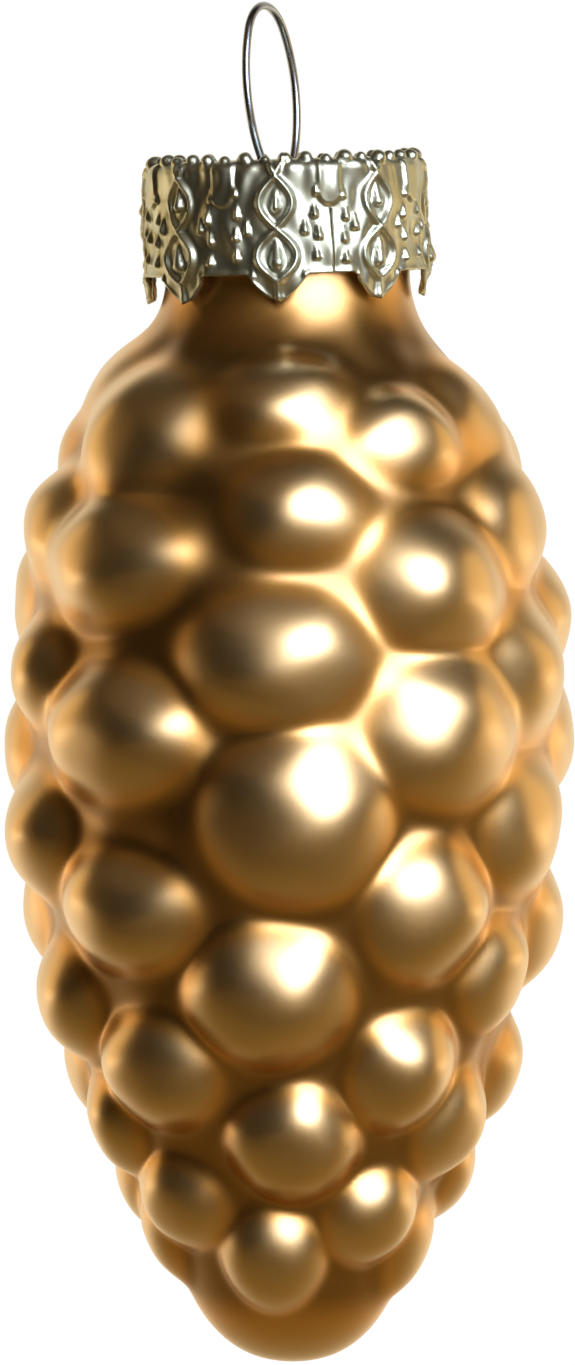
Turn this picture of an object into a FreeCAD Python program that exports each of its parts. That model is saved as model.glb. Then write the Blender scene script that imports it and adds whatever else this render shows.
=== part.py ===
import FreeCAD, Part
import math
import os

from FreeCAD import Rotation, Vector

# Pine cone ornament of blown glass, hung by a wire loop. Millimetres, +Z up, front looks to -Y.
# It is drawn with the cap seat at z = 0 on the glass axis, then moved so that the hang point of
# the loop is the origin.

# Glass
body_length = 73.4        # cap seat to tip
neck_radius = 7.55
neck_length = 7.9         # straight neck, inside the cap's skirt
belly_radius = 15.6       # of the valleys between the bumps
belly_depth = 33.5        # below the cap seat
glass_wall = 0.9
rim_slant = 1.8           # degrees: the neck is cut a little askew, right side high
bump_rise = 2.3           # height of the tallest bump above its valley
bump_fullness = 1.15      # 1 is a parabola; more makes the tops flatter and the sides steeper
bump_spread = 1.02        # all half heights and half widths below are multiplied by this
shoulder_softness = 0.6   # larger blends the bumps more gently, at the shoulder
tail_softness = 0.3       # and at the tail
tip_drift = 0.3           # the tip is blown a little to the right

# Cap
cap_sheet = 0.25
cap_clearance = 0.6       # between the neck and the inside of the skirt
cap_radius = neck_radius + cap_clearance + cap_sheet  # outside, below the shoulder
cap_flare = 0.2           # the skirt widens by this to its lower edge
cap_height = 8.6          # top face to the tips of the lobes
shoulder_radius = 0.75    # outside, between plate and skirt
cap_offset = -0.25        # sits a little left on the neck
lobe_count = 8
lobe_angle = -4.0         # degrees: the lobe nearest the front
lobe_length = 1.7         # from the lobe tips up to the straight edge between them
lobe_width = 3.6          # where it leaves the straight edge
lobe_tip_width = 0.6
lobe_fullness = 0.35      # bulge of the lobe's sides beyond a straight line
beads_per_lobe = 5
bead_radius = 0.38
bead_inset = 0.5          # bead centres in from the outside of the skirt
ridge_rise = 0.22         # of the stamped ridges over the skirt
ridge_width = 0.34
# Stamped lozenges above each lobe: (depth of the centre below the plate's top, half width, half height)
lozenges = ((2.7, 1.2, 1.5), (5.7, 1.35, 1.55))
lozenge_drop = 0.36       # half width of the drop inside each lozenge
drop_rise = 0.2           # of the stamped drops over the skirt
drop_stretch = 1.7        # upper point of a drop, in half widths above its middle
# Stamped drops at each side of a lobe: (degrees from the lobe, depth, half width)
side_drops = ((14.5, 2.2, 0.2), (14.0, 3.5, 0.24), (15.5, 4.8, 0.26), (13.5, 6.0, 0.26))
hole_radius = 0.55
slit_angle = 19.0
slit_width = 0.2
slit_length = 4.3         # from the lower edge up

# Wire
wire_radius = 0.25
loop_top_radius = 3.0     # all wire radii are of the centre line
loop_top_sweep = 60.0     # degrees, each side of the top
loop_side_radius = 7.5
hole_half_spacing = 2.35  # where the wire enters the plate
hole_offset = -0.35       # the holes lie a little left in the plate
loop_turn = 66.0          # degrees from +X to the plane of the loop
loop_lean = 3.8           # degrees: the loop leans to the left
leg_bend_radius = 2.0
leg_splay = 35.0          # degrees from upright
leg_clearance = 0.3       # leg ends to the bore of the neck
plate_clear = 0.35        # straight wire below the plate before the legs bend out

# Skin of the glass
skin_rows = 72
skin_columns = 80
# (share of the way from neck to belly: down, out) and (from belly to tip: down, share of radius)
shoulder_line = ((0.094, 0.118), (0.199, 0.366), (0.375, 0.665), (0.629, 0.894), (1.0, 1.0))
tail_line = ((0.238, 0.968), (0.476, 0.840), (0.677, 0.647), (0.827, 0.468), (0.930, 0.345),
             (0.985, 0.185), (1.0, 0.0))
# Bumps by column, top to bottom: (depth and half height as shares of the body length,
# angle from the front in degrees, half width in degrees, share of the bump rise)
front_bumps = ((0.191, 0.038, -1, 20, 0.50), (0.281, 0.044, 2, 17, 0.65), (0.402, 0.057, -3, 22, 0.85),
               (0.532, 0.074, 2, 22, 1.04), (0.679, 0.062, -5, 22, 1.04), (0.804, 0.054, 1, 22, 0.96),
               (0.903, 0.050, -9, 26, 0.83))
left_bumps = ((0.218, 0.060, -47, 24, 0.76), (0.324, 0.053, -47, 24, 0.90),
              (0.466, 0.057, -42, 23, 0.98), (0.613, 0.052, -42, 22, 0.98),
              (0.746, 0.052, -40, 22, 0.98), (0.857, 0.046, -47, 24, 0.83))
right_bumps = ((0.223, 0.040, 34, 17, 0.68), (0.342, 0.060, 37, 20, 0.92), (0.462, 0.067, 38, 21, 0.98),
               (0.612, 0.061, 34, 18, 1.00), (0.745, 0.054, 33, 18, 0.98), (0.868, 0.047, 34, 23, 0.85))
right_side_bumps = ((0.203, 0.048, 69, 19, 0.50), (0.294, 0.055, 70, 19, 0.83),
                    (0.417, 0.060, 68, 20, 0.87), (0.546, 0.062, 67, 20, 0.91),
                    (0.669, 0.051, 61, 16, 0.78), (0.794, 0.052, 59, 19, 0.78),
                    (0.902, 0.044, 70, 24, 0.52))
left_side_bumps = ((0.180, 0.042, -82, 22, 0.40), (0.298, 0.050, -80, 18, 0.80),
                   (0.420, 0.048, -74, 16, 0.84), (0.555, 0.058, -75, 18, 0.98),
                   (0.692, 0.055, -74, 18, 0.94), (0.797, 0.049, -70, 18, 0.78),
                   (0.892, 0.043, -78, 20, 0.56))
right_flank_bumps = ((0.240, 0.041, 97, 17, 0.48), (0.376, 0.057, 97, 18, 0.87),
                     (0.474, 0.060, 97, 18, 0.88), (0.632, 0.063, 96, 20, 0.96),
                     (0.757, 0.054, 97, 20, 0.87), (0.842, 0.049, 98, 22, 0.74))
left_flank_bumps = ((0.236, 0.044, -104, 17, 0.56), (0.362, 0.059, -103, 18, 0.87),
                    (0.490, 0.060, -102, 19, 0.91), (0.626, 0.060, -104, 19, 0.86),
                    (0.757, 0.054, -103, 20, 0.82), (0.855, 0.049, -106, 22, 0.76))
back_bumps = ((0.232, 0.049, 176, 22, 0.65), (0.345, 0.059, 174, 23, 0.87),
              (0.475, 0.064, 177, 23, 0.91), (0.621, 0.061, 173, 23, 0.91),
              (0.755, 0.056, 176, 23, 0.83), (0.869, 0.048, 174, 25, 0.70))
right_back_bumps = ((0.193, 0.044, 136, 21, 0.57), (0.285, 0.049, 134, 20, 0.74),
                    (0.410, 0.061, 137, 21, 0.87), (0.552, 0.068, 135, 22, 0.96),
                    (0.695, 0.061, 138, 21, 0.91), (0.819, 0.053, 135, 21, 0.78),
                    (0.918, 0.049, 138, 25, 0.61))
left_back_bumps = ((0.193, 0.044, -142, 21, 0.57), (0.292, 0.050, -144, 20, 0.74),
                   (0.417, 0.060, -141, 21, 0.87), (0.548, 0.067, -143, 22, 0.96),
                   (0.689, 0.063, -140, 21, 0.91), (0.815, 0.053, -142, 21, 0.78),
                   (0.916, 0.049, -140, 25, 0.61))
bumps = (front_bumps + left_bumps + right_bumps + right_side_bumps + left_side_bumps
         + right_flank_bumps + left_flank_bumps + back_bumps + right_back_bumps + left_back_bumps)


def valley_curve():
    # Radius (y) against depth (x) of the valleys, from the rim to the tip.
    points = [Vector(0, neck_radius, 0), Vector(neck_length / 2, neck_radius, 0),
              Vector(neck_length, neck_radius, 0)]
    for down, out in shoulder_line:
        points.append(Vector(neck_length + down * (belly_depth - neck_length),
                             neck_radius + out * (belly_radius - neck_radius), 0))
    for down, share in tail_line:
        points.append(Vector(belly_depth + down * (body_length - belly_depth), share * belly_radius, 0))
    curve = Part.BSplineCurve()
    curve.interpolate(Points=points, InitialTangent=Vector(1, 0, 0), FinalTangent=Vector(0, -1, 0))
    return curve


def distance_at_depth(curve, depth):
    # Distance down the valley curve to a depth, found by halving.
    low, high = curve.FirstParameter, curve.LastParameter
    for _ in range(40):
        middle = (low + high) / 2
        if curve.value(middle).x < depth:
            low = middle
        else:
            high = middle
    return curve.length(curve.FirstParameter, low)


def softness_at(share):
    # Straight change from the shoulder's value to the tail's, over the middle half of the skin.
    down = min(max((share - 0.25) / 0.5, 0.0), 1.0)
    return shoulder_softness + down * (tail_softness - shoulder_softness)


def rise_at(distance, angle, domes, length):
    # Soft union of all the domes: softness * ln(1 + sum of exp(dome / softness)).
    softness = softness_at(distance / length)
    total = 1.0
    for centre, tall, middle, wide, rise in domes:
        aside = (angle - middle + 180) % 360 - 180
        off = ((aside / wide) ** 2 + ((distance - centre) / tall) ** 2) / bump_spread ** 2
        total += math.exp(max(rise * (1 - off ** bump_fullness) / softness, -40))
    return softness * math.log(total)


def skin_parameters():
    # Share of the skin's length for each row of poles: even steps, a third of a step at the ends.
    steps = skin_rows - 3
    inner = [i / steps for i in range(1, steps)]
    return [0.0, 1 / (3 * steps)] + inner + [1 - 1 / (3 * steps), 1.0]


def outer_skin():
    # Points of the bumpy skin, one list per angle, each from the rim to the tip.
    curve = valley_curve()
    length = curve.length(curve.FirstParameter, curve.LastParameter)
    domes = [(distance_at_depth(curve, depth * body_length), tall * body_length, middle, wide,
              share * bump_rise) for depth, tall, middle, wide, share in bumps]
    columns = []
    for i in range(skin_columns):
        angle = 360 * i / skin_columns
        side = Vector(math.sin(math.radians(angle)), -math.cos(math.radians(angle)), 0)
        column = []
        for share in skin_parameters():
            parameter = curve.parameterAtDistance(share * length, curve.FirstParameter)
            valley = curve.value(parameter)
            along = curve.tangent(parameter)[0]
            rise = 0.0 if share in (0.0, 1.0) else rise_at(share * length, angle, domes, length)
            radius = 0.0 if share == 1.0 else valley.y + along.x * rise
            column.append(side * radius + Vector(0, 0, along.y * rise - valley.x))
        columns.append(column)
    return columns


def inner_skin(outer):
    # The outer points moved inwards by the wall, square to the surface.
    count = len(outer)
    last = len(outer[0]) - 1
    columns = []
    for i in range(count):
        column = []
        for j in range(last):
            across = outer[(i + 1) % count][j] - outer[i - 1][j]
            down = outer[i][j + 1] - outer[i][max(j - 1, 0)]
            normal = across.cross(down).normalize()
            if j == 0:
                normal = Vector(outer[i][0].x, outer[i][0].y, 0).normalize() * -1
            column.append(outer[i][j] + normal * glass_wall)
        column.append(outer[i][last] + Vector(0, 0, glass_wall))
        columns.append(column)
    return columns


def blown(point):
    # The slant of the rim, fading out down the neck, and the drift of the tip.
    fade = max(1 + point.z / neck_length, 0)
    drift = tip_drift * (-point.z / body_length) ** 3
    return point + Vector(drift, 0, point.x * math.tan(math.radians(rim_slant)) * fade)


def control_net(points):
    # A cubic surface lies inside its control net, so each pole moves out from its point by a sixth
    # of the second difference, round the body and down it.
    count = len(points)
    last = len(points[0]) - 1
    net = []
    for i in range(count):
        column = []
        for j in range(last + 1):
            here = points[i][j]
            round_bend = points[i - 1][j] + points[(i + 1) % count][j] - here * 2
            down_bend = Vector(0, 0, 0)
            if 2 < j < last - 2:
                down_bend = points[i][j - 1] + points[i][j + 1] - here * 2
            column.append(here - (round_bend + down_bend) * (1 / 6))
        net.append(column)
    return net


def skin_surface(columns):
    # Cubic surface, closed round the body, through the points.
    poles = control_net([[blown(point) for point in column] for column in columns])
    around = len(poles)
    spans = len(poles[0]) - 3
    surface = Part.BSplineSurface()
    surface.buildFromPolesMultsKnots(
        poles, [1] * (around + 1), [4] + [1] * (spans - 1) + [4],
        list(range(around + 1)), list(range(spans + 1)), True, False, 3, 3)
    return surface


def make_glass_body():
    outer = outer_skin()
    surfaces = [skin_surface(outer), skin_surface(inner_skin(outer))]
    rims = [Part.Wire(surface.vIso(0).toShape()) for surface in surfaces]
    rim = Part.makeFace(rims, "Part::FaceMakerBullseye")
    shell = Part.Shell([surface.toShape() for surface in surfaces] + rim.Faces)
    shell.sewShape()
    solid = Part.Solid(shell)
    if solid.Volume < 0:
        solid.reverse()
    return solid


def revolve_outline(edges):
    face = Part.Face(Part.Wire(edges))
    return face.revolve(Vector(0, 0, 0), Vector(0, 0, 1), 360)


def skirt_outline(radius, bend, top, bottom):
    # Half section in the XZ plane: flat top, quarter round shoulder and flared side.
    centre_x = radius - bend
    centre_z = top - bend
    arc_middle = Vector(centre_x + bend * math.sin(math.pi / 4), 0, centre_z + bend * math.cos(math.pi / 4))
    shoulder_top = Vector(centre_x, 0, top)
    shoulder_side = Vector(radius, 0, centre_z)
    side_foot = Vector(radius + cap_flare, 0, bottom)
    return [Part.makeLine(Vector(0, 0, bottom), Vector(0, 0, top)),
            Part.makeLine(Vector(0, 0, top), shoulder_top),
            Part.Arc(shoulder_top, arc_middle, shoulder_side).toShape(),
            Part.makeLine(shoulder_side, side_foot),
            Part.makeLine(side_foot, Vector(0, 0, bottom))]


def radial(angle):
    turn = math.radians(angle)
    return Vector(math.sin(turn), -math.cos(turn), 0)


def lobe_side(pitch, bottom, side):
    # Bulging side of a lobe, from its tip up to the straight edge, seen from the middle of a gap.
    tip = Vector(side * (pitch - lobe_tip_width) / 2, 0, bottom)
    root = Vector(side * (pitch - lobe_width) / 2, 0, bottom + lobe_length)
    across = Vector(root.z - tip.z, 0, tip.x - root.x).normalize()
    middle = (tip + root) * 0.5 - across * side * lobe_fullness
    return tip, middle, root


def gap_cutters(bottom):
    # Prisms, lying along the radius, that leave the pointed lobes between straight edges.
    pitch = 2 * math.pi * (cap_radius + cap_flare) / lobe_count
    tip, middle, root = lobe_side(pitch, bottom, 1)
    other_tip, other_middle, other_root = lobe_side(pitch, bottom, -1)
    drop = Vector(0, 0, -lobe_length)
    edges = [Part.Arc(tip, middle, root).toShape(), Part.makeLine(root, other_root),
             Part.Arc(other_root, other_middle, other_tip).toShape(),
             Part.makeLine(other_tip, other_tip + drop), Part.makeLine(other_tip + drop, tip + drop),
             Part.makeLine(tip + drop, tip)]
    prism = Part.Face(Part.Wire(edges)).extrude(Vector(0, -2 * cap_radius, 0))
    cutters = []
    for i in range(lobe_count):
        cutter = prism.copy()
        cutter.rotate(Vector(0, 0, 0), Vector(0, 0, 1), lobe_angle + (i + 0.5) * 360 / lobe_count)
        cutters.append(cutter)
    return cutters


def skirt_radius(depth):
    # Outside of the skirt at a depth below the plate's top.
    return cap_radius + cap_flare * (depth - shoulder_radius) / (cap_height - shoulder_radius)


def lozenge_ridge(depth, half_width, half_height):
    # Raised outline of a lozenge, as a flat-faced frame through the skirt at the front.
    frame = None
    for inset in (0, ridge_width):
        wide = half_width - inset
        tall = half_height - inset * half_height / half_width
        middle = cap_sheet - depth
        corners = [Vector(0, 0, middle + tall), Vector(wide, 0, middle), Vector(0, 0, middle - tall),
                   Vector(-wide, 0, middle), Vector(0, 0, middle + tall)]
        prism = Part.Face(Part.makePolygon(corners)).extrude(Vector(0, -skirt_radius(depth) - ridge_rise, 0))
        frame = prism if frame is None else frame.cut(prism)
    return frame


def stamped_drop(turn, depth, half_width):
    # Flat-faced drop through the skirt: a long point above its middle, a short one below.
    middle = cap_sheet - depth
    top = Vector(0, 0, middle + drop_stretch * half_width)
    corners = [top, Vector(half_width, 0, middle), Vector(0, 0, middle - half_width),
               Vector(-half_width, 0, middle), top]
    drop = Part.Face(Part.makePolygon(corners)).extrude(Vector(0, -skirt_radius(depth) - drop_rise, 0))
    drop.rotate(Vector(0, 0, 0), Vector(0, 0, 1), turn)
    return drop


def stamped_drops():
    # Small drops standing out of the skirt, inside the lozenges and beside them.
    spots = [(0, depth + lozenge_drop / 2, lozenge_drop) for depth, wide, tall in lozenges]
    spots += [(side * turn, depth, wide) for turn, depth, wide in side_drops for side in (-1, 1)]
    drops = []
    for i in range(lobe_count):
        for turn, depth, half_width in spots:
            drops.append(stamped_drop(lobe_angle + i * 360 / lobe_count + turn, depth, half_width))
    return drops


def lozenge_ridges():
    ridges = []
    for i in range(lobe_count):
        for size in lozenges:
            ridge = lozenge_ridge(*size)
            ridge.rotate(Vector(0, 0, 0), Vector(0, 0, 1), lobe_angle + i * 360 / lobe_count)
            ridges.append(ridge)
    return ridges


def slit_cutter(bottom):
    box = Part.makeBox(slit_width, 2 * cap_radius, slit_length, Vector(-slit_width / 2, 0, bottom))
    box.rotate(Vector(0, 0, 0), Vector(0, 0, 1), 180 + slit_angle)
    return box


def entry_slope():
    # Inward slope of the wire where it enters the plate, in radians from upright.
    side_centre = (loop_side_radius - loop_top_radius) * math.sin(math.radians(loop_top_sweep))
    return math.acos((hole_half_spacing + side_centre) / loop_side_radius)


def on_arc(centre, radius, angle):
    # Point of an arc in the plane of the loop, angle in radians from upright.
    return centre + Vector(radius * math.sin(angle), 0, radius * math.cos(angle))


def arc_edge(centre, radius, start, end):
    spots = [on_arc(centre, radius, start + share * (end - start)) for share in (0, 0.5, 1)]
    return Part.Arc(*spots).toShape()


def loop_centres():
    # Centres of the top arc and of the right-hand side arc.
    sweep = math.radians(loop_top_sweep)
    difference = loop_side_radius - loop_top_radius
    side = Vector(-difference * math.sin(sweep), 0, cap_sheet + loop_side_radius * math.sin(entry_slope()))
    return side + Vector(difference * math.sin(sweep), 0, difference * math.cos(sweep)), side


def loop_height():
    return loop_centres()[0].z + loop_top_radius


def right_half_edges():
    # From the top of the loop, down its side, through the plate and out to the neck's bore.
    top_centre, side_centre = loop_centres()
    sweep = math.radians(loop_top_sweep)
    slope = entry_slope()
    splay = math.radians(leg_splay)
    entry = on_arc(side_centre, loop_side_radius, math.pi / 2 + slope)
    inwards = Vector(-math.sin(slope), 0, -math.cos(slope))
    below = entry + inwards * ((cap_sheet + plate_clear) / math.cos(slope))
    bend_centre = below + Vector(math.cos(slope), 0, -math.sin(slope)) * leg_bend_radius
    bend_start = -math.pi / 2 + slope
    bend_end = -math.pi / 2 - splay
    knee = on_arc(bend_centre, leg_bend_radius, bend_end)
    reach = neck_radius - glass_wall - leg_clearance - wire_radius * math.cos(splay)
    foot = knee + Vector(math.sin(splay), 0, -math.cos(splay)) * ((reach - knee.x) / math.sin(splay))
    return [arc_edge(top_centre, loop_top_radius, 0, sweep),
            arc_edge(side_centre, loop_side_radius, sweep, math.pi / 2 + slope),
            Part.makeLine(entry, below),
            arc_edge(bend_centre, leg_bend_radius, bend_start, bend_end),
            Part.makeLine(knee, foot)]


def wire_placement():
    # From the plane of the loop (its XZ plane) to its place in the cap.
    turn = FreeCAD.Placement(Vector(hole_offset, 0, 0), Rotation(Vector(0, 0, 1), loop_turn))
    return turn.multiply(FreeCAD.Placement(Vector(0, 0, 0), Rotation(Vector(1, 0, 0), -loop_lean)))


def cap_placement():
    # The cap sits flush on the slanted rim, a little off the glass axis.
    tilt = FreeCAD.Placement(Vector(0, 0, 0), Rotation(Vector(0, 1, 0), -rim_slant))
    return tilt.multiply(FreeCAD.Placement(Vector(cap_offset, 0, 0), Rotation()))


def make_wire_hanger():
    right = right_half_edges()
    left = [edge.mirror(Vector(0, 0, 0), Vector(1, 0, 0)) for edge in right]
    path = Part.Wire(Part.__sortEdges__(left + right))
    start = path.OrderedEdges[0]
    spot = start.valueAt(start.FirstParameter)
    heading = start.tangentAt(start.FirstParameter)
    section = Part.Wire(Part.makeCircle(wire_radius, spot, heading))
    hanger = path.makePipeShell([section], True, False)
    return hanger.transformed(wire_placement().toMatrix())


def hole_centre(side):
    # Where the wire's centre line crosses the middle of the plate.
    aside = hole_half_spacing - math.tan(entry_slope()) * cap_sheet / 2
    return wire_placement().multVec(Vector(side * aside, 0, cap_sheet / 2))


def make_metal_cap():
    bottom = cap_sheet - cap_height
    outside = revolve_outline(skirt_outline(cap_radius, shoulder_radius, cap_sheet, bottom))
    inside = revolve_outline(skirt_outline(cap_radius - cap_sheet, shoulder_radius - cap_sheet, 0, bottom))
    bead_count = lobe_count * beads_per_lobe
    beads = [Part.makeSphere(bead_radius, radial(lobe_angle + 360 * (i + 0.5) / bead_count)
                             * (cap_radius - bead_inset) + Vector(0, 0, cap_sheet))
             for i in range(bead_count)]
    holes = [Part.makeCylinder(hole_radius, 2 * cap_sheet, hole_centre(side) - Vector(0, 0, cap_sheet))
             for side in (-1, 1)]
    cutters = [inside] + gap_cutters(bottom) + [slit_cutter(bottom)] + holes
    return outside.multiFuse(beads + stamped_drops() + lozenge_ridges()).cut(cutters)


def save(shape, name):
    hang_point = cap_placement().multVec(
        wire_placement().multVec(Vector(0, 0, loop_height() - wire_radius)))
    shape.translate(hang_point * -1)
    shape.exportStep("parts/" + name + ".step")
    print(name, "volume", round(shape.Volume, 2), "valid", shape.isValid(), "solids", len(shape.Solids))


os.makedirs("parts", exist_ok=True)
save(make_glass_body(), "glass_body")
save(make_metal_cap().transformed(cap_placement().toMatrix()), "metal_cap")
save(make_wire_hanger().transformed(cap_placement().toMatrix()), "wire_hanger")
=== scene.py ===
# Blown glass pine cone ornament with a stamped cap and a wire hanger, hung in front of a white backdrop.
from math import acos, cos, pi, radians, sin, tan

import bpy
import numpy as np
from mathutils import Matrix, Vector
from mathutils.geometry import tessellate_polygon


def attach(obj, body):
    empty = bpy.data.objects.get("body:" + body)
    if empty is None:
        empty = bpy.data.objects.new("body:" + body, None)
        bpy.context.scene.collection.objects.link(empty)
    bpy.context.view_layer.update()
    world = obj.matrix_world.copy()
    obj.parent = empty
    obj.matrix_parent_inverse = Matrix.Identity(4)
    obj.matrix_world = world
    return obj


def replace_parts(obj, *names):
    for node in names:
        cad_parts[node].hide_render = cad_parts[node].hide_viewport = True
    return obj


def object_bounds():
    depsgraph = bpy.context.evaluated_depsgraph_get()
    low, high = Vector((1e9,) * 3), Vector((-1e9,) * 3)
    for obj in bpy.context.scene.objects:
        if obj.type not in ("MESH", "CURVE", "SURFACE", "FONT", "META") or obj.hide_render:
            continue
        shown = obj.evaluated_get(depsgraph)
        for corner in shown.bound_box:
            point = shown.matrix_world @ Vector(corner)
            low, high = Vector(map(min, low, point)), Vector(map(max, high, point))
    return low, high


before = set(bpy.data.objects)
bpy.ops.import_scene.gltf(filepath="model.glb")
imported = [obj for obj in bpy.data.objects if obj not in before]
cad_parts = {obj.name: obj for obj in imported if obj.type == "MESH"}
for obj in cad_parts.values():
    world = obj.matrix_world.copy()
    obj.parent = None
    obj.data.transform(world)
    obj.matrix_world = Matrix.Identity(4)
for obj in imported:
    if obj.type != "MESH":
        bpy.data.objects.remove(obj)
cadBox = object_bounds()
print("frame loaded:", sorted(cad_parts))

mm = 0.001                      # every dictionary below is in millimetres and degrees

# Placing the cap, the wire and the glass

cap = {
    "sheet": 0.25, "clearance": 0.6, "flare": 0.2, "height": 8.6, "shoulder": 0.75, "offset": -0.25,
    "lobes": 8, "lobeAngle": -4.0, "lobeRise": 1.7, "lobeHalfWidth": 1.85, "lobeFullness": 1.5,
    "slitAngle": 19.0, "slitTop": 3.1, "slitLift": 0.12, "slitRamp": 0.6, "slitSpread": 3.0,
    "holeRadius": 0.55, "holeSides": 32,
    "flatRing": 0.65, "columns": 480, "rimRows": 20, "skirtRows": 50, "edgeRows": 16, "edgeDepth": 5.6,
}
wire = {
    "radius": 0.25, "topRadius": 3.0, "topSweep": 60.0, "sideRadius": 7.5, "halfSpacing": 2.35,
    "offset": -0.35, "turn": 66.0, "lean": 3.8, "plateClear": 0.35, "bendRadius": 2.0, "splay": 35.0,
    "legClearance": 0.3, "around": 24, "step": 0.12, "straightStep": 0.48,
}
glass = {
    "length": 73.4, "neckRadius": 7.55, "neckLength": 7.9, "bellyRadius": 15.6, "bellyDepth": 33.5,
    "wall": 0.9, "rimSlant": 1.8, "bumpRise": 2.3, "fullness": 1.15, "spread": 1.02,
    "softness": ((0.25, 0.75), (0.60, 0.30)),            # places down the skin and values
    "tipDrift": 0.3,
    "columns": 300, "rows": 260, "innerRows": 40, "innerStart": 0.004, "slopeStep": 0.002,
    "profilePoints": 1500,
    "farBump": -40,                                      # exponent of a bump too far off to matter
    "shoulderLine": ((0.094, 0.118), (0.199, 0.366), (0.375, 0.665), (0.629, 0.894), (1.0, 1.0)),
    "tailLine": ((0.238, 0.968), (0.476, 0.840), (0.677, 0.647), (0.827, 0.468), (0.930, 0.345),
                 (0.985, 0.185), (1.0, 0.0)),
    # tone of the smooth neck and tip, which have no bumps: places down the skin and values. They lift both
    # out of the painted valley shade, and the tip's higher value is painted light that makes it paler
    "bareTone": ((0.06, 0.14, 0.89, 0.97), (0.32, 0.0, 0.0, 0.62)),
}


def turnAbout(axis, degrees):
    return Matrix.Rotation(radians(degrees), 4, axis)


def loopShape():
    # Centres of the top arc and of one side arc of the loop, and its inward slope at the plate.
    sweep = radians(wire["topSweep"])
    gap = wire["sideRadius"] - wire["topRadius"]
    slope = acos((wire["halfSpacing"] + gap * sin(sweep)) / wire["sideRadius"])
    side = np.array([-gap * sin(sweep), cap["sheet"] + wire["sideRadius"] * sin(slope)])
    top = side + gap * np.array([sin(sweep), cos(sweep)])
    return top, side, slope


loopTop, loopSide, loopSlope = loopShape()
capToSeat = turnAbout("Y", -glass["rimSlant"]) @ Matrix.Translation((cap["offset"], 0, 0))
wireToCap = (Matrix.Translation((wire["offset"], 0, 0)) @ turnAbout("Z", wire["turn"])
             @ turnAbout("X", -wire["lean"]))
hangPoint = capToSeat @ wireToCap @ Vector((0, 0, loopTop[1] + wire["topRadius"] - wire["radius"]))
seatToRow = Matrix.Translation(-hangPoint)


def placed(points, matrix):
    # Points (..., 3) in millimetres, moved by a 4 by 4 matrix, in metres.
    full = np.array(matrix)
    return (points @ full[:3, :3].T + full[:3, 3]) * mm


def ringMesh(name, rings, poleStart=None, poleEnd=None, matrix=seatToRow, attributes=(), keep=None,
             lid=None):
    # A surface of closed rings, points[ring][column], with an optional fan to a pole at each end.
    # Keep says which of its quads are made. A lid is a flat end inside the first ring: the points that
    # it adds, and triangles over the ring's points and its own.
    rows, columns = rings.shape[:2]
    points = rings.reshape(-1, 3)
    index = np.arange(rows * columns).reshape(rows, columns)
    right = np.roll(index, -1, axis=1)
    quads = np.stack([index[:-1], index[1:], right[1:], right[:-1]], axis=-1)
    if keep is not None:
        quads = quads[keep]
    faces = quads.reshape(-1, 4).tolist()
    for pole, row, order in ((poleStart, 0, 1), (poleEnd, rows - 1, -1)):
        if pole is not None:
            points = np.vstack([points, pole])
            tip = np.full(columns, len(points) - 1)
            faces += np.stack([tip, index[row], right[row]][::order], axis=-1).tolist()
    curved = len(faces)
    if lid is not None:
        extra, triangles = lid
        faces += np.where(triangles < columns, triangles, triangles - columns + len(points)).tolist()
        points = np.vstack([points, extra])
    mesh = bpy.data.meshes.new(name)
    mesh.from_pydata(placed(points, matrix).tolist(), [], faces)
    for label, values in attributes:
        padded = np.concatenate([values.ravel(), np.zeros(len(points) - values.size)])
        mesh.attributes.new(label, "FLOAT", "POINT").data.foreach_set("value", padded.astype(np.float32))
    mesh.polygons.foreach_set("use_smooth", np.arange(len(faces)) < curved)
    mesh.validate()
    piece = bpy.data.objects.new(name, mesh)
    bpy.context.scene.collection.objects.link(piece)
    return piece


# Glass body

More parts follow.
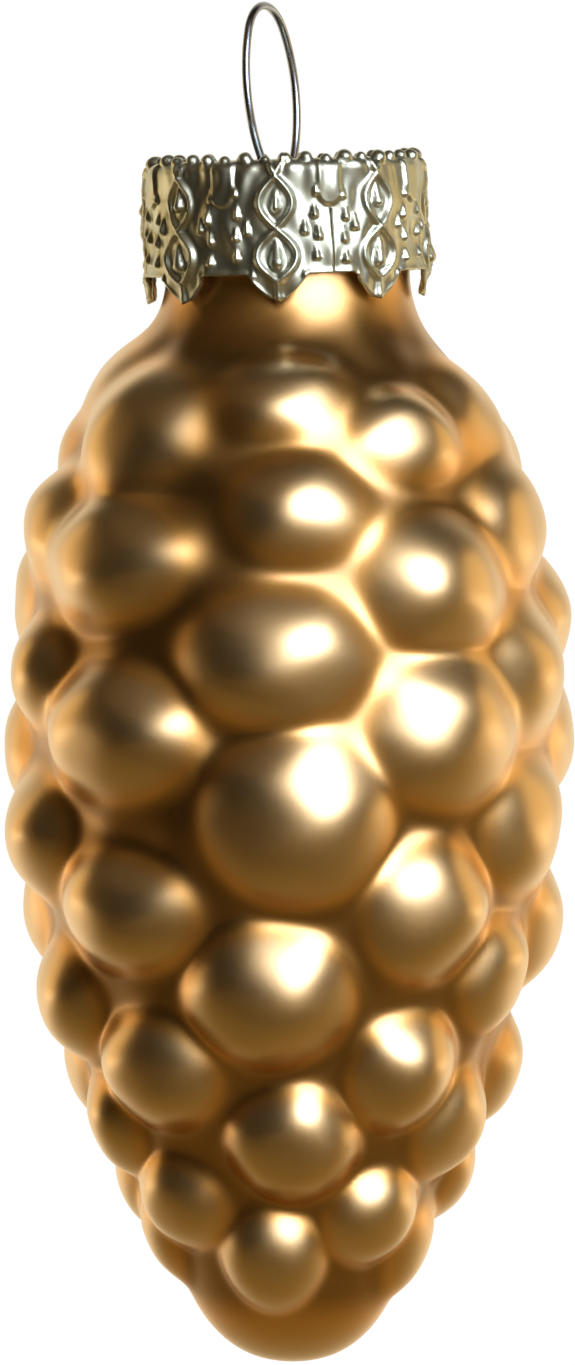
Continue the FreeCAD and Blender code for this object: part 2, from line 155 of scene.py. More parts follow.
# depth and half height as shares of the length, angle and half width in degrees, share of the bump rise
bumps = np.array((
    # front column
    (0.191, 0.038, -1, 20, 0.50), (0.281, 0.044, 2, 17, 0.65), (0.402, 0.057, -3, 22, 0.85),
    (0.532, 0.074, 2, 22, 1.04), (0.679, 0.062, -5, 22, 1.04), (0.804, 0.054, 1, 22, 0.96),
    (0.903, 0.050, -9, 26, 0.83),
    # left of the front
    (0.218, 0.060, -47, 24, 0.76), (0.324, 0.053, -47, 24, 0.90), (0.466, 0.057, -42, 23, 0.98),
    (0.613, 0.052, -42, 22, 0.98), (0.746, 0.052, -40, 22, 0.98), (0.857, 0.046, -47, 24, 0.83),
    # right of the front
    (0.223, 0.040, 34, 17, 0.68), (0.342, 0.060, 37, 20, 0.92), (0.462, 0.067, 38, 21, 0.98),
    (0.612, 0.061, 34, 18, 1.00), (0.745, 0.054, 33, 18, 0.98), (0.868, 0.047, 34, 23, 0.85),
    # right side
    (0.203, 0.048, 69, 19, 0.50), (0.294, 0.055, 70, 19, 0.83), (0.417, 0.060, 68, 20, 0.87),
    (0.546, 0.062, 67, 20, 0.91), (0.669, 0.051, 61, 16, 0.78), (0.794, 0.052, 59, 19, 0.78),
    (0.902, 0.044, 70, 24, 0.52),
    # left side
    (0.180, 0.042, -82, 22, 0.40), (0.298, 0.050, -80, 18, 0.80), (0.420, 0.048, -74, 16, 0.84),
    (0.555, 0.058, -75, 18, 0.98), (0.692, 0.055, -74, 18, 0.94), (0.797, 0.049, -70, 18, 0.78),
    (0.892, 0.043, -78, 20, 0.56),
    # right flank
    (0.240, 0.041, 97, 17, 0.48), (0.376, 0.057, 97, 18, 0.87), (0.474, 0.060, 97, 18, 0.88),
    (0.632, 0.063, 96, 20, 0.96), (0.757, 0.054, 97, 20, 0.87), (0.842, 0.049, 98, 22, 0.74),
    # left flank
    (0.236, 0.044, -104, 17, 0.56), (0.362, 0.059, -103, 18, 0.87), (0.490, 0.060, -102, 19, 0.91),
    (0.626, 0.060, -104, 19, 0.86), (0.757, 0.054, -103, 20, 0.82), (0.855, 0.049, -106, 22, 0.76),
    # back
    (0.232, 0.049, 176, 22, 0.65), (0.345, 0.059, 174, 23, 0.87), (0.475, 0.064, 177, 23, 0.91),
    (0.621, 0.061, 173, 23, 0.91), (0.755, 0.056, 176, 23, 0.83), (0.869, 0.048, 174, 25, 0.70),
    # right of the back
    (0.193, 0.044, 136, 21, 0.57), (0.285, 0.049, 134, 20, 0.74), (0.410, 0.061, 137, 21, 0.87),
    (0.552, 0.068, 135, 22, 0.96), (0.695, 0.061, 138, 21, 0.91), (0.819, 0.053, 135, 21, 0.78),
    (0.918, 0.049, 138, 25, 0.61),
    # left of the back
    (0.193, 0.044, -142, 21, 0.57), (0.292, 0.050, -144, 20, 0.74), (0.417, 0.060, -141, 21, 0.87),
    (0.548, 0.067, -143, 22, 0.96), (0.689, 0.063, -140, 21, 0.91), (0.815, 0.053, -142, 21, 0.78),
    (0.916, 0.049, -140, 25, 0.61),
))


def smoothLine(points, count, startSlope, endSlope):
    # Twice smooth cubic through the points by chord length, as positions, unit slopes and distances.
    stops = np.asarray(points, float)
    knots = np.concatenate([[0], np.cumsum(np.linalg.norm(np.diff(stops, axis=0), axis=1))])
    spans = np.diff(knots)[:, None]
    rises = np.diff(stops, axis=0) / spans
    system = np.eye(len(stops))
    wanted = np.vstack([[startSlope], np.zeros((len(stops) - 2, 2)), [endSlope]])
    for i in range(1, len(stops) - 1):
        before, after = spans[i - 1, 0], spans[i, 0]
        system[i, i - 1:i + 2] = after, 2 * (before + after), before
        wanted[i] = 3 * (after * rises[i - 1] + before * rises[i])
    slopes = np.linalg.solve(system, wanted)
    at = np.linspace(0, knots[-1], count)
    i = np.clip(np.searchsorted(knots, at) - 1, 0, len(stops) - 2)
    u = ((at - knots[i]) / spans[i, 0])[:, None]
    span = spans[i]
    places = ((2 * u ** 3 - 3 * u ** 2 + 1) * stops[i] + (u ** 3 - 2 * u ** 2 + u) * span * slopes[i]
              + (3 * u ** 2 - 2 * u ** 3) * stops[i + 1] + (u ** 3 - u ** 2) * span * slopes[i + 1])
    along = np.gradient(places, axis=0)
    along /= np.linalg.norm(along, axis=1)[:, None]
    distance = np.concatenate([[0], np.cumsum(np.linalg.norm(np.diff(places, axis=0), axis=1))])
    return places, along, distance


def valleyLine():
    # Depth and radius of the valleys between the bumps, from the rim to the tip.
    neck, belly = glass["neckRadius"], glass["bellyRadius"]
    down = glass["bellyDepth"] - glass["neckLength"]
    tail = glass["length"] - glass["bellyDepth"]
    points = [(0, neck), (glass["neckLength"] / 2, neck), (glass["neckLength"], neck)]
    points += [(glass["neckLength"] + a * down, neck + b * (belly - neck))
               for a, b in glass["shoulderLine"]]
    points += [(glass["bellyDepth"] + a * tail, b * belly) for a, b in glass["tailLine"]]
    return smoothLine(points, glass["profilePoints"], (1, 0), (0, -1))


def glassSkin(shares, angles):
    # Surface = valley line + rise * normal, rise = softness * ln(1 + sum of exp(dome / softness)),
    # and each dome = height * (1 - ((angle off / half width)^2 + (distance off / half height)^2)^fullness).
    line, along, distance = valleyLine()
    length = distance[-1]
    at = shares * length
    depth, radius = (np.interp(at, distance, line[:, k]) for k in (0, 1))
    slopeDown, slopeOut = (np.interp(at, distance, along[:, k]) for k in (0, 1))
    softness = np.interp(shares, *glass["softness"])[:, None]
    total = np.ones((len(shares), len(angles)))
    for deep, tall, middle, wide, share in bumps:
        centre = np.interp(deep * glass["length"], line[:, 0], distance)
        aside = (angles - middle + 180) % 360 - 180
        off = (aside / wide) ** 2 + (((at - centre) / (tall * glass["length"])) ** 2)[:, None]
        off /= glass["spread"] ** 2
        inside = 1 - off ** glass["fullness"]
        total += np.exp(np.maximum(share * glass["bumpRise"] * inside / softness, glass["farBump"]))
    rise = softness * np.log(total)
    out = radius[:, None] + slopeDown[:, None] * rise
    z = slopeOut[:, None] * rise - depth[:, None]
    turn = np.radians(angles)
    return np.stack([out * np.sin(turn), -out * np.cos(turn), z], axis=-1), rise


def blown(points):
    # The slant of the rim, fading down the neck, and the drift of the tip to the right.
    fade = np.maximum(1 + points[..., 2] / glass["neckLength"], 0)
    moved = points.copy()
    moved[..., 0] += glass["tipDrift"] * (-points[..., 2] / glass["length"]) ** 3
    moved[..., 2] += points[..., 0] * tan(radians(glass["rimSlant"])) * fade
    return moved


flow = {                        # shallow dents and swellings left by blowing
    "height": 0.065, "skinLength": 90.0, "fade": ((0.10, 0.18, 0.72, 0.88), (0, 1, 1, 0)),
    # each wave: turns, radians per mm down, wander, its turns and radians per mm, start, share
    "waves": ((13, 0.80, 1.4, 3, -0.23, 0, 1.0), (-11, 0.66, 1.7, 2, 0.31, 2, 1.0),
              (6, -0.42, 1.2, 5, 0.19, 4, 1.3)),
}


def flowMarks(shares, angles):
    # Height * fade * sum of waves, and each wave =
    # share * sin(turns * angle + rate * down + wander * sin(its turns * angle + its rate * down) + start).
    turn = np.radians(angles)
    down = shares[:, None] * flow["skinLength"]
    marks = np.zeros((len(shares), len(angles)))
    for turns, rate, wander, wanderTurns, wanderRate, start, share in flow["waves"]:
        drift = wander * np.sin(wanderTurns * turn + wanderRate * down)
        marks += share * np.sin(turns * turn + rate * down + drift + start)
    return flow["height"] * np.interp(shares, *flow["fade"])[:, None] * marks


def makeGlass():
    # Outside = skin + flow marks * outward, inside = skin - wall * normal, joined by the mouth's rim.
    angles = np.arange(glass["columns"]) * 360 / glass["columns"]
    shares = np.linspace(0, 1, glass["rows"] + 1)[:-1]
    outer, rise = glassSkin(shares, angles)
    turn = np.radians(angles)
    outward = np.stack([np.sin(turn), -np.cos(turn), 0 * turn], axis=-1)
    outer = outer + flowMarks(shares, angles)[:, :, None] * outward
    innerShares = np.linspace(glass["innerStart"], 1, glass["innerRows"] + 1)[:-1]
    base, innerRise = glassSkin(innerShares, angles)
    step, _ = glassSkin(innerShares + glass["slopeStep"], angles)
    normals = np.cross(step - base, np.roll(base, -1, axis=1) - np.roll(base, 1, axis=1))
    normals /= np.linalg.norm(normals, axis=2)[:, :, None]
    inner = base - normals * glass["wall"]
    mouth = outer[:1] * np.array([1 - glass["wall"] / glass["neckRadius"]] * 2 + [1])
    rings = np.concatenate([inner[::-1], mouth, outer])
    bare = np.interp(shares, *glass["bareTone"])[:, None]
    # the lacquer reads this as bumpHeight to place its painted shade, painted reflection and painted
    # highlight
    height = np.concatenate([innerRise[::-1] * 0, rise[:1] * 0, rise / glass["bumpRise"] + bare])
    tip = np.array([[0, 0, -glass["length"]]])
    piece = ringMesh("glass_body_skin", blown(rings), blown(tip + [[0, 0, glass["wall"]]])[0],
                     blown(tip)[0], attributes=[("bumpHeight", height)])
    print("glass:", len(piece.data.polygons), "faces, widest rise", round(float(rise.max()), 2))
    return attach(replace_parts(piece, "glass_body"), "root")


# Stamped cap

capRadius = glass["neckRadius"] + cap["clearance"] + cap["sheet"]
relief = {
    "ridge": 0.30, "ridgeWidth": 0.17, "tailShare": 0.7, "stemSpread": 0.45, "leastTaper": 0.05,
    "upper": (1.0, 4.2, 0.98), "lower": (4.2, 7.4, 1.18),     # lozenges: top, bottom, half width
    "petal": 0.22, "petalWidth": 0.80, "petalDepth": 2.9, "petalHang": 0.9, "petalSteep": 3.5,
    "curl": 0.42, "curlPower": 1.5, "lip": 0.10, "lipWidth": 0.22,
    "fadeFrom": 0.375,                                          # stamping fades in round the shoulder
    "wave": 0.075,                                              # height of the dents and streaks
    # dents: share, turns, radians per mm down, start
    "dents": ((1.0, 5, 1.1, 0), (0.6, 11, -1.7, 1)),
    # streaks: share, turns, wander, its turns and rate, then turns, rate and start of where they show
    "streaks": ((0.8, 27, 1.9, 3, 0.9, 7, 0.8, 0), (0.5, 43, -1.3, 0, 1.4, 4, -1.1, 2)),
    # unevenness of the drops, down and aside: size, by motif, by depth
    "uneven": ((0.12, 3.1, 5), (0.06, 7.3, 3)),
    # drops: aside from the motif's middle, depth of the round end, radius, tail, height
    "drops": ((0, 2.8, 0.36, 1.4, 0.42), (0, 6.25, 0.42, 1.5, 0.46), (1.72, 4.25, 0.27, 1.0, 0.32),
              (2.42, 2.2, 0.20, 0.8, 0.26), (2.38, 3.5, 0.23, 0.9, 0.28), (2.46, 4.8, 0.23, 0.9, 0.28),
              (2.40, 6.05, 0.22, 0.8, 0.26), (1.55, 7.0, 0.16, 0.5, 0.18)),
    "tipBead": (8.25, 0.30, 0.30), "beadsPerLobe": 5, "beadRadius": 0.40, "beadHeight": 0.42,
    "beadRing": 0.5,                                            # in from the outside of the cap
    "beadUneven": (0.22, 2.7), "beadStray": (0.12, 4.1),        # size, by bead
}


def dropDome(aside, depth, centre, radius, tail, height):
    # Round below its centre, tapering to a point over the tail above it:
    # height * taper * sqrt(1 - (aside / (radius * taper))^2 - (distance below / radius)^2).
    taper = np.clip((depth - centre + tail) / tail, 0, 1)
    across = aside / (radius * np.maximum(taper, relief["leastTaper"]))
    below = np.maximum(depth - centre, 0) / radius
    return height * taper * np.sqrt(np.clip(1 - across ** 2 - below ** 2, 0, 1))


def strandRidge(aside, depth, top, bottom, width, ridge, thick):
    # Two strands that bow apart by width * sin(pi * share of the way down) and meet again, and
    # across each of them ridge * exp(-(distance / thick)^2).
    turn = np.pi * np.clip((depth - top) / (bottom - top), 0, 1)
    bow = width * np.sin(turn)
    slant = width * np.pi / (bottom - top) * np.cos(turn)
    off = (np.abs(aside) - bow) / np.sqrt(1 + slant ** 2)
    within = (depth >= top) & (depth <= bottom)
    return np.where(within, ridge * np.exp(-(off / thick) ** 2), 0)


def capRelief(aside, depth, motif):
    # Height of the stamping over the plain skirt, at a distance aside and below the top face:
    # the highest of strands, stems, tail, drops, the bead on the lobe's tip and the petal.
    r = relief
    strands = np.maximum(strandRidge(aside, depth, *r["upper"], r["ridge"], r["ridgeWidth"]),
                         strandRidge(aside, depth, *r["lower"], r["ridge"], r["ridgeWidth"]))
    spread = r["stemSpread"] * np.clip(1 - depth / r["upper"][0], 0, 1)
    stem = r["ridge"] * np.exp(-((np.abs(aside) - spread) / r["ridgeWidth"]) ** 2)
    stems = np.where(depth < r["upper"][0], stem, 0)
    keel = r["tailShare"] * r["ridge"] * np.exp(-(aside / r["ridgeWidth"]) ** 2)
    tail = np.where(depth > r["lower"][1], keel, 0)
    height = np.maximum(np.maximum(strands, stems), tail)
    for x, centre, radius, drop, tall in r["drops"]:
        shift, sway = (size * np.sin(byMotif * motif + byDepth * centre)
                       for size, byMotif, byDepth in r["uneven"])
        dome = dropDome(np.abs(aside) - x - sway, depth, centre + shift, radius, drop, tall)
        height = np.maximum(height, dome)
    tipDepth, tipRadius, tipHeight = r["tipBead"]
    height = np.maximum(height, dropDome(aside, depth, tipDepth, tipRadius, tipRadius, tipHeight))
    fromPetal = (np.pi * capRadius / cap["lobes"] - np.abs(aside)) / r["petalWidth"]
    hang = (np.maximum(depth - r["petalDepth"] + r["petalHang"], 0) / r["petalHang"]) ** 2
    petal = r["petal"] * np.clip(r["petalSteep"] * (1 - fromPetal ** 2 - hang), 0, 1)
    return np.maximum(height, petal)


def capEdge(aside):
    # Depth of the lower edge below the top face = height - rise * (1 - lobe), and
    # lobe = 1 - |aside / half width|^fullness, never below 0.
    lobe = np.clip(1 - np.abs(aside / cap["lobeHalfWidth"]) ** cap["lobeFullness"], 0, 1)
    return cap["height"] - cap["lobeRise"] * (1 - lobe)


def capSection(edge):
    # Rows of the outside from the plate's edge, round the shoulder and down to the lower edge:
    # station along the section, radius, depth and the outward and upward parts of the normal.
    # The shoulder is a quarter circle, and below it radius = cap radius + flare * share of the way down.
    bend, flat = cap["shoulder"], cap["flatRing"]
    station = np.linspace(0, flat + bend * pi / 2, cap["rimRows"] + 1)[:, None]
    turn = np.clip(station - flat, 0, None) / bend
    rimRadius = capRadius - bend - np.clip(flat - station, 0, None) + bend * np.sin(turn)
    straight = np.linspace(bend, cap["edgeDepth"], cap["skirtRows"] + 1)[1:, None] + 0 * edge
    share = np.linspace(0, 1, cap["edgeRows"] + 1)[1:, None]
    side = np.concatenate([straight, cap["edgeDepth"] + share * (edge - cap["edgeDepth"])])
    sideRadius = capRadius + cap["flare"] * (side - bend) / (cap["height"] - bend)
    wide = np.ones(len(edge))
    return (np.concatenate([station * wide, station[-1] + side - bend]),
            np.concatenate([rimRadius * wide, sideRadius]),
            np.concatenate([bend * (1 - np.cos(turn)) * wide, side]),
            np.concatenate([np.sin(turn) * wide, 1 + 0 * side]),
            np.concatenate([np.cos(turn) * wide, 0 * side]))


def rimBeads(angles, station):
    # Domes round the top edge, a little uneven in size and place:
    # height * sqrt(1 - (distance aside / size)^2 - (distance along the section / size)^2).
    pitch = 360 / (cap["lobes"] * relief["beadsPerLobe"])
    number = np.floor((angles - cap["lobeAngle"]) / pitch)
    middle = cap["flatRing"] + cap["shoulder"] * np.arcsin(1 - relief["beadRing"] / cap["shoulder"])
    fromBead = angles - cap["lobeAngle"] - (number + 0.5) * pitch
    aside = np.radians(fromBead) * (capRadius - relief["beadRing"])
    (uneven, byBead), (stray, strayByBead) = relief["beadUneven"], relief["beadStray"]
    size = relief["beadRadius"] * (1 + uneven * np.sin(number * byBead))
    shift = stray * np.sin(number * strayByBead)
    dome = np.sqrt(np.clip(1 - (aside / size) ** 2 - ((station - middle - shift) / size) ** 2, 0, 1))
    return relief["beadHeight"] * dome * size / relief["beadRadius"]


def sheetDents(turn, depth):
    # Unevenness of the thin sheet: long waves, and finer streaks that wander and come and go.
    height = 0 * turn * depth
    for share, turns, rate, start in relief["dents"]:
        height += share * np.sin(turns * turn + rate * depth + start)
    for share, turns, wander, wanderTurns, wanderRate, *shown in relief["streaks"]:
        drift = wander * np.sin(wanderRate * depth + wanderTurns * turn)
        gate = np.sin(shown[0] * turn + shown[1] * depth + shown[2])
        height += share * np.sin(turns * turn + drift) * gate
    return relief["wave"] * height


def capOutside():
    # Outside of the cap: section + (stamping + beads + dents in the thin sheet) * normal.
    angles = np.arange(cap["columns"]) * 360 / cap["columns"]
    pitch = 360 / cap["lobes"]
    motif = np.round((angles - cap["lobeAngle"]) / pitch)
    aside = np.radians(angles - cap["lobeAngle"] - motif * pitch) * capRadius
    edge = capEdge(aside)
    station, radius, depth, outward, upward = capSection(edge)
    turn = np.radians(angles)
    fadeIn = np.clip((outward - relief["fadeFrom"]) / (1 - relief["fadeFrom"]), 0, 1)
    bump = capRelief(aside + 0 * depth, depth, motif) * fadeIn
    bump = np.maximum(bump, rimBeads(angles, station))
    bump += sheetDents(turn, depth) * outward
    bump += relief["lip"] * np.exp(-((edge - depth) / relief["lipWidth"]) ** 2)
    hanging = np.clip((depth - cap["height"] + cap["lobeRise"]) / cap["lobeRise"], 0, 1)
    bump -= relief["curl"] * hanging ** relief["curlPower"]
    side = (angles - cap["slitAngle"] + 180) % 360 - 180
    below = np.clip(depth - cap["slitTop"], 0, cap["slitRamp"]) / cap["slitRamp"]
    bump += cap["slitLift"] * below * np.where(side < 0, np.exp(-(side / cap["slitSpread"]) ** 2), 0)
    out = radius + bump * outward
    height = cap["sheet"] - depth + bump * upward
    rings = np.stack([out * np.sin(turn), -out * np.cos(turn), height], axis=-1)
    # The slit is one column of faces left out, from its top to the lower edge.
    keep = np.ones((len(rings) - 1, cap["columns"]), bool)
    slitColumn = int(round(cap["slitAngle"] / 360 * cap["columns"]))
    keep[depth[1:].mean(axis=1) > cap["slitTop"], slitColumn] = False
    return rings, keep


def capPlate(ring):
    # The flat plate inside the beads: triangles that face up, between the first ring and the two wire
    # holes, and each hole = centre + radius * (cos a, sin a).
    entry = wire["halfSpacing"] - tan(loopSlope) * cap["sheet"] / 2
    turn = np.linspace(0, 2 * pi, cap["holeSides"] + 1)[:-1]
    circle = cap["holeRadius"] * np.stack([np.cos(turn), np.sin(turn), 0 * turn], axis=-1)
    loops = [ring]
    for sign in (-1, 1):
        centre = wireToCap @ Vector((sign * entry, 0, cap["sheet"] / 2))
        loops.append(circle + np.array([centre.x, centre.y, cap["sheet"]]))
    triangles = np.array(tessellate_polygon([[Vector(p) for p in loop] for loop in loops]))
    first, second, third = np.moveaxis(np.concatenate(loops)[triangles], 1, 0)
    down = np.cross(second - first, third - first)[:, 2:] < 0
    return np.concatenate(loops[1:]), np.where(down, triangles[:, ::-1], triangles)


def makeCap():
    rings, keep = capOutside()
    piece = ringMesh("metal_cap_sheet", rings, matrix=seatToRow @ capToSeat, keep=keep,
                     lid=capPlate(rings[0]))
    wall = piece.modifiers.new("sheet", "SOLIDIFY")
    wall.thickness = cap["sheet"] * mm
    wall.offset = -1
    wall.use_even_offset = False
    print("cap:", len(piece.data.polygons), "faces")
    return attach(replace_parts(piece, "metal_cap"), "root")


# Wire hanger

def arcPoints(centre, radius, start, end):
    # Points of an arc in the loop's plane, angles from upright.
    count = max(int(abs(end - start) * radius / wire["step"]), 2)
    turn = np.linspace(start, end, count + 1)
    return np.asarray(centre) + radius * np.stack([np.sin(turn), np.cos(turn)], axis=1)


def linePoints(start, end):
    # Start + share * (end - start).
    count = max(int(np.linalg.norm(end - start) / wire["straightStep"]), 2)
    return start + np.linspace(0, 1, count + 1)[:, None] * (end - start)


def wireHalf():
    # Top of the loop, down one side, through the plate, round the bend and out along the leg.
    sweep, splay, bend = radians(wire["topSweep"]), radians(wire["splay"]), wire["bendRadius"]
    side = arcPoints(loopSide, wire["sideRadius"], sweep, pi / 2 + loopSlope)
    inwards = np.array([-sin(loopSlope), -cos(loopSlope)])
    below = side[-1] + inwards * (cap["sheet"] + wire["plateClear"]) / cos(loopSlope)
    bendCentre = below + bend * np.array([cos(loopSlope), -sin(loopSlope)])
    knee = arcPoints(bendCentre, bend, -pi / 2 + loopSlope, -pi / 2 - splay)
    reach = glass["neckRadius"] - glass["wall"] - wire["legClearance"] - wire["radius"] * cos(splay)
    foot = knee[-1] + np.array([sin(splay), -cos(splay)]) * (reach - knee[-1][0]) / sin(splay)
    return np.concatenate([arcPoints(loopTop, wire["topRadius"], 0, sweep), side[1:],
                           linePoints(side[-1], below)[1:], knee[1:], linePoints(knee[-1], foot)[1:]])


def makeWire():
    # A round tube: centre line + radius * (cos a * in-plane normal + sin a * plane normal).
    half = wireHalf()
    line = np.concatenate([half[:0:-1] * [-1, 1], half])
    along = np.gradient(line, axis=0)
    along /= np.linalg.norm(along, axis=1)[:, None]
    normal = np.stack([-along[:, 1], 0 * along[:, 0], along[:, 0]], axis=1)
    turn = np.linspace(0, 2 * pi, wire["around"] + 1)[:-1]
    centre = np.stack([line[:, 0], 0 * line[:, 0], line[:, 1]], axis=1)
    rings = (centre[:, None] + wire["radius"] * (np.cos(turn)[None, :, None] * normal[:, None]
             + np.sin(turn)[None, :, None] * np.array([0, 1, 0])))
    piece = ringMesh("wire_hanger_steel", rings, centre[0], centre[-1], seatToRow @ capToSeat @ wireToCap)
    print("wire:", len(piece.data.polygons), "faces")
    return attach(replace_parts(piece, "wire_hanger"), "root")


# Shader nodes as Python values

class Value:
    # One output socket; arithmetic on it adds Math nodes.
    def __init__(self, tree, socket):
        self.tree, self.socket = tree, socket

    def maths(self, operation, *others):
        return addNode(self.tree, "ShaderNodeMath", {"operation": operation},
                       dict(enumerate((self, *others))))

    def __add__(self, other):
        return self.maths("ADD", other)

    def __mul__(self, other):
        return self.maths("MULTIPLY", other)

    __radd__ = __add__
    __rmul__ = __mul__


def addNode(tree, kind, settings=None, inputs=None, out=0):
    # A node with its settings made first, then its inputs as numbers, colours or other values. Its
    # chosen output comes back, or nothing from the last node of a tree.
    node = tree.nodes.new(kind)
    for name, setting in (settings or {}).items():
        setattr(node, name, setting)
    for name, entry in (inputs or {}).items():
        if isinstance(entry, Value):
            tree.links.new(entry.socket, node.inputs[name])
        else:
            node.inputs[name].default_value = entry
    return Value(tree, node.outputs[out]) if len(node.outputs) else None


def newMaterial(name):
    material = bpy.data.materials.new(name)
    material.use_nodes = True
    material.node_tree.nodes.clear()
    return material, material.node_tree


def finishMaterial(tree, shader):
    addNode(tree, "ShaderNodeOutputMaterial", {}, {"Surface": shader})


def mixColour(tree, share, first, second):
    return addNode(tree, "ShaderNodeMix", {"data_type": "RGBA"}, {0: share, 6: first, 7: second}, out=2)


def objectPlace(tree):
    return addNode(tree, "ShaderNodeTexCoord", out=3)


def noise(tree, scale, detail):
    return addNode(tree, "ShaderNodeTexNoise", {},
                   {"Vector": objectPlace(tree), "Scale": scale, "Detail": detail})


def smoothStep(tree, value, low, high):
    # 0 below low, 1 above high and a smooth ease between.
    return addNode(tree, "ShaderNodeMapRange", {"interpolation_type": "SMOOTHSTEP"},
                   {"Value": value, "From Min": low, "From Max": high})


def principled(tree, inputs, normal=None):
    if normal is not None:
        inputs = {**inputs, "Normal": normal}
    return addNode(tree, "ShaderNodeBsdfPrincipled", {}, inputs)


def fineBump(tree, grain, look):
    return addNode(tree, "ShaderNodeBump", {}, {
        "Strength": look["grainStrength"], "Distance": look["grainHeight"] * mm, "Height": grain})


def lacqueredGlass():
    # Silvered glass under a satin copper gold lacquer, coloured by bump height: the valleys hold deeper
    # lacquer plus painted shade where the bumps meet, the orange flanks are a painted reflection of one
    # bump in the next, and the pale crests are thinner lacquer paled further as a painted highlight.
    look = {
        # valley is deeper lacquer darkened as painted shade, flank is a painted gold-on-gold reflection,
        # crest is a paler painted highlight tone
        "crest": (0.78, 0.52, 0.22, 1), "flank": (0.82, 0.39, 0.025, 1), "valley": (0.36, 0.165, 0.008, 1),
        "flankRange": (0.0, 0.26), "crestRange": (0.15, 0.54), "mottle": 0.3,
        "roughness": 0.37, "roughSpread": 0.05, "grain": 0.06,
        "grainScale": 2600.0, "grainStrength": 0.25, "grainHeight": 0.02, "cloudScale": 140.0,
        "coatInValleys": 0.6, "coatRoughness": 0.30, "coatIor": 2.4,
    }
    material, tree = newMaterial("lacquered_glass")
    height = addNode(tree, "ShaderNodeAttribute", {"attribute_name": "bumpHeight"}, out=2)
    cloud = noise(tree, look["cloudScale"], detail=3.0)
    grain = noise(tree, look["grainScale"], detail=2.0)
    # Painted shade in the valleys, painted reflection on the flanks and painted highlight on the crests,
    # mixed by bump height
    flank = smoothStep(tree, height, *look["flankRange"])
    mottled = height * (cloud * look["mottle"] + (1 - look["mottle"] / 2))
    crest = smoothStep(tree, mottled, *look["crestRange"])
    colour = mixColour(tree, crest, mixColour(tree, flank, look["valley"], look["flank"]), look["crest"])
    base = look["roughness"] - look["grain"]
    roughness = cloud * look["roughSpread"] + grain * look["grain"] + base
    coat = flank * (1 - look["coatInValleys"]) + look["coatInValleys"]
    shader = principled(tree, {
        "Base Color": colour, "Metallic": 1.0, "Roughness": roughness, "Coat Weight": coat,
        "Coat Roughness": look["coatRoughness"], "Coat IOR": look["coatIor"],
    }, fineBump(tree, grain, look))
    finishMaterial(tree, shader)
    return material


def stampedMetal():
    # Pale gold tinplate with fine rolling marks.
    look = {
        "dark": (0.47, 0.51, 0.43, 1), "light": (0.62, 0.65, 0.57, 1), "cloudScale": 420.0,
        "roughness": 0.31, "roughSpread": 0.12,
        "grainScale": 1500.0, "grainStrength": 0.15, "grainHeight": 0.03,
    }
    material, tree = newMaterial("cap_metal")
    cloud = noise(tree, look["cloudScale"], detail=3.0)
    grain = noise(tree, look["grainScale"], detail=2.0)
    shader = principled(tree, {
        "Base Color": mixColour(tree, cloud, look["dark"], look["light"]), "Metallic": 1.0,
        "Roughness": cloud * look["roughSpread"] + look["roughness"],
    }, fineBump(tree, grain, look))
    finishMaterial(tree, shader)
    return material


def drawnSteel():
    # Bright spring wire with faint drawing marks.
    look = {
        "dark": (0.30, 0.35, 0.45, 1), "light": (0.46, 0.52, 0.64, 1), "markScale": 900.0,
        "roughness": 0.18, "roughSpread": 0.12,
    }
    material, tree = newMaterial("steel_wire")
    marks = noise(tree, look["markScale"], detail=2.0)
    shader = principled(tree, {
        "Base Color": mixColour(tree, marks, look["dark"], look["light"]), "Metallic": 1.0,
        "Roughness": marks * look["roughSpread"] + look["roughness"],
    })
    finishMaterial(tree, shader)
    return material


def dress(piece, material):
    piece.data.materials.clear()
    piece.data.materials.append(material)


dress(makeGlass(), lacqueredGlass())
dress(makeCap(), stampedMetal())
dress(makeWire(), drawnSteel())
print("materials: lacquered glass, stamped metal, drawn steel")


# Floor, room, lights and camera

studio = {
    "floorDrop": 45.0, "size": 3000.0,                    # below the tip, and the side of the square
    "paper": 0.15, "floorGlow": 0.90,                     # what the camera sees: grey and added glow
    # what metal reflects of the paper: frontShade and floorShade paint a pool of light, darker in front of
    # the ornament and lighter beneath it
    "frontShade": (0.19, 0.122, 0.034), "floorShade": (0.46, 0.295, 0.074), "shadeTurn": (-100.0, 10.0),
    "behind": (1.0, 0.86, 0.62), "floorTurn": (-20.0, 180.0), "skyTurn": (0.35, 0.90),
    "room": (0.020, 0.012, 0.004),
    # name: (azimuth, elevation, distance, width, height, radiance, colour)
    "lamps": {
        "key": (29, 25, 520, 440, 400, 6.3, (0.86, 0.92, 1.0)),
        "keyEdge": (27, 24, 530, 820, 760, 0.55, (1.0, 0.84, 0.60)),
        "rightPanel": (106, 0, 430, 300, 560, 1.0, (1.0, 0.68, 0.28)),
        "leftPanel": (-114, 0, 430, 240, 560, 0.9, (1.0, 0.66, 0.26)),
        "warmFill": (-38, 56, 430, 560, 420, 0.08, (1.0, 0.62, 0.22)),
    },
}
lowest = cadBox[0][2]
middle = Vector((hangPoint.x * -mm, hangPoint.y * -mm, (cadBox[0][2] + cadBox[1][2]) / 2))


def rayKinds(tree):
    # Camera rays, and the rays that metal and glass send on.
    path = addNode(tree, "ShaderNodeLightPath")
    camera, glossy, through = (Value(tree, path.socket.node.outputs[name])
                               for name in ("Is Camera Ray", "Is Glossy Ray", "Is Transmission Ray"))
    return camera, glossy.maths("MAXIMUM", through)


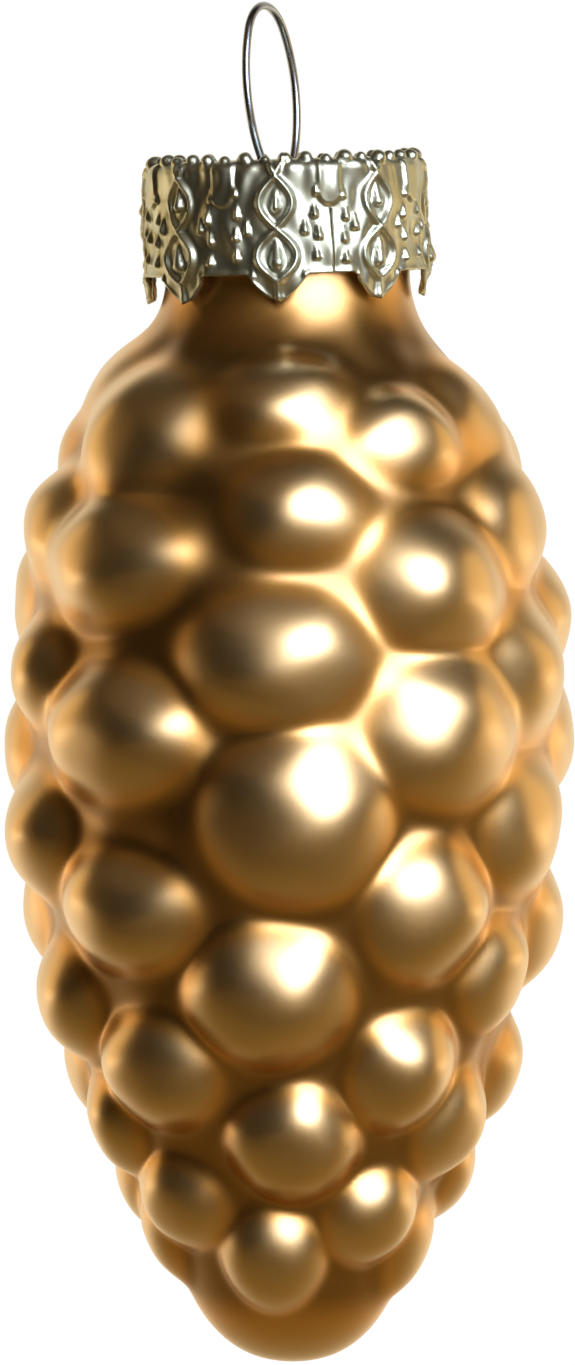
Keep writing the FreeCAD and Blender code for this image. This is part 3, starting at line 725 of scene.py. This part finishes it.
def makeFloor():
    # Pale paper to the camera. What metal reflects of it is warm, with a painted pool of light: painted
    # shade in front of the ornament, lighter beneath it, white behind.
    half = studio["size"] / 2 * mm
    floorZ = lowest - studio["floorDrop"] * mm
    mesh = bpy.data.meshes.new("floor")
    corners = [(x * half, y * half, floorZ) for x, y in ((-1, -1), (1, -1), (1, 1), (-1, 1))]
    mesh.from_pydata(corners, [], [(0, 1, 2, 3)])
    floor = bpy.data.objects.new("floor", mesh)
    bpy.context.scene.collection.objects.link(floor)
    material, tree = newMaterial("pale_paper")
    camera, onward = rayKinds(tree)
    place = addNode(tree, "ShaderNodeSeparateXYZ", {}, {"Vector": objectPlace(tree)}, out=1)
    behind = smoothStep(tree, place, *(edge * mm for edge in studio["floorTurn"]))
    glow = studio["floorGlow"]
    white = addNode(tree, "ShaderNodeEmission", {}, {
        "Color": mixColour(tree, onward, (1, 1, 1, 1), (*studio["behind"], 1)),
        "Strength": camera * (behind * (1 - glow) + glow) + onward * behind})
    # painted pool of light for reflected rays: painted shade in front, lighter beneath the ornament
    near = smoothStep(tree, place, *(edge * mm for edge in studio["shadeTurn"]))
    shade = mixColour(tree, near, (*studio["frontShade"], 1), (*studio["floorShade"], 1))
    grey = studio["paper"]
    shade = mixColour(tree, camera, shade, (grey, grey, grey, 1))
    paper = addNode(tree, "ShaderNodeBsdfDiffuse", {}, {"Color": shade})
    finishMaterial(tree, addNode(tree, "ShaderNodeAddShader", {}, {0: white, 1: paper}))
    floor.data.materials.append(material)
    print("floor: at", round(floorZ, 4))


def makeRoom():
    # A dim room that is white to the camera, and white behind the ornament to what metal reflects.
    world = bpy.data.worlds.new("room")
    world.use_nodes = True
    tree = world.node_tree
    tree.nodes.clear()
    camera, onward = rayKinds(tree)
    direction = addNode(tree, "ShaderNodeTexCoord")                # in a world, where the ray points
    along = addNode(tree, "ShaderNodeSeparateXYZ", {}, {"Vector": direction}, out=1)
    behind = smoothStep(tree, along, *studio["skyTurn"])
    colour = mixColour(tree, onward * behind, (*studio["room"], 1), (*studio["behind"], 1))
    colour = mixColour(tree, camera, colour, (1, 1, 1, 1))
    room = addNode(tree, "ShaderNodeBackground", {}, {"Color": colour, "Strength": 1.0})
    addNode(tree, "ShaderNodeOutputWorld", {}, {"Surface": room})
    bpy.context.scene.world = world
    print("room: dim, white behind")


def aim(obj, place, target):
    obj.location = place
    obj.rotation_euler = (target - place).to_track_quat("-Z", "Y").to_euler()
    bpy.context.scene.collection.objects.link(obj)


def makeLamps():
    for name, (azimuth, elevation, distance, width, height, radiance, colour) in studio["lamps"].items():
        lamp = bpy.data.lights.new(name, "AREA")
        lamp.shape, lamp.size, lamp.size_y = "ELLIPSE", width * mm, height * mm
        lamp.energy = radiance * pi * lamp.size * lamp.size_y * pi / 4
        lamp.color = colour
        a, e = radians(azimuth), radians(elevation)
        place = middle + distance * mm * Vector((sin(a) * cos(e), -cos(a) * cos(e), sin(e)))
        aim(bpy.data.objects.new(name, lamp), place, middle)
    print("lamps:", ", ".join(studio["lamps"]))


view = {
    "distance": 560.0, "height": -11.0, "sensor": 24.0, "nearest": 10.0,
    "pixels": (575, 1365), "pixelsPerMm": 16.35, "axisPixel": 288.0, "seatPixel": 164.0,
}


def makeCamera():
    # Level with the cap, and aimed a little down at the middle of the picture.
    axis = Vector((-hangPoint.x, -hangPoint.y, 0)) * mm
    wide, tall = view["pixels"]
    aimAt = Vector((axis.x + (wide / 2 - view["axisPixel"]) / view["pixelsPerMm"] * mm, axis.y,
                    -hangPoint.z * mm - (tall / 2 - view["seatPixel"]) / view["pixelsPerMm"] * mm))
    data = bpy.data.cameras.new("camera")
    data.sensor_fit = "VERTICAL"
    data.sensor_height = view["sensor"]
    data.clip_start = view["nearest"] * mm
    place = Vector((aimAt.x, axis.y - view["distance"] * mm, view["height"] * mm))
    away = (aimAt - place).length
    data.lens = data.sensor_height * away / (tall / view["pixelsPerMm"] * mm)
    camera = bpy.data.objects.new("camera", data)
    aim(camera, place, aimAt)
    bpy.context.scene.camera = camera
    print("camera: lens", round(data.lens, 1))


makeFloor()
makeRoom()
makeLamps()
makeCamera()
bpy.context.scene.view_settings.view_transform = "Standard"
print("finished")
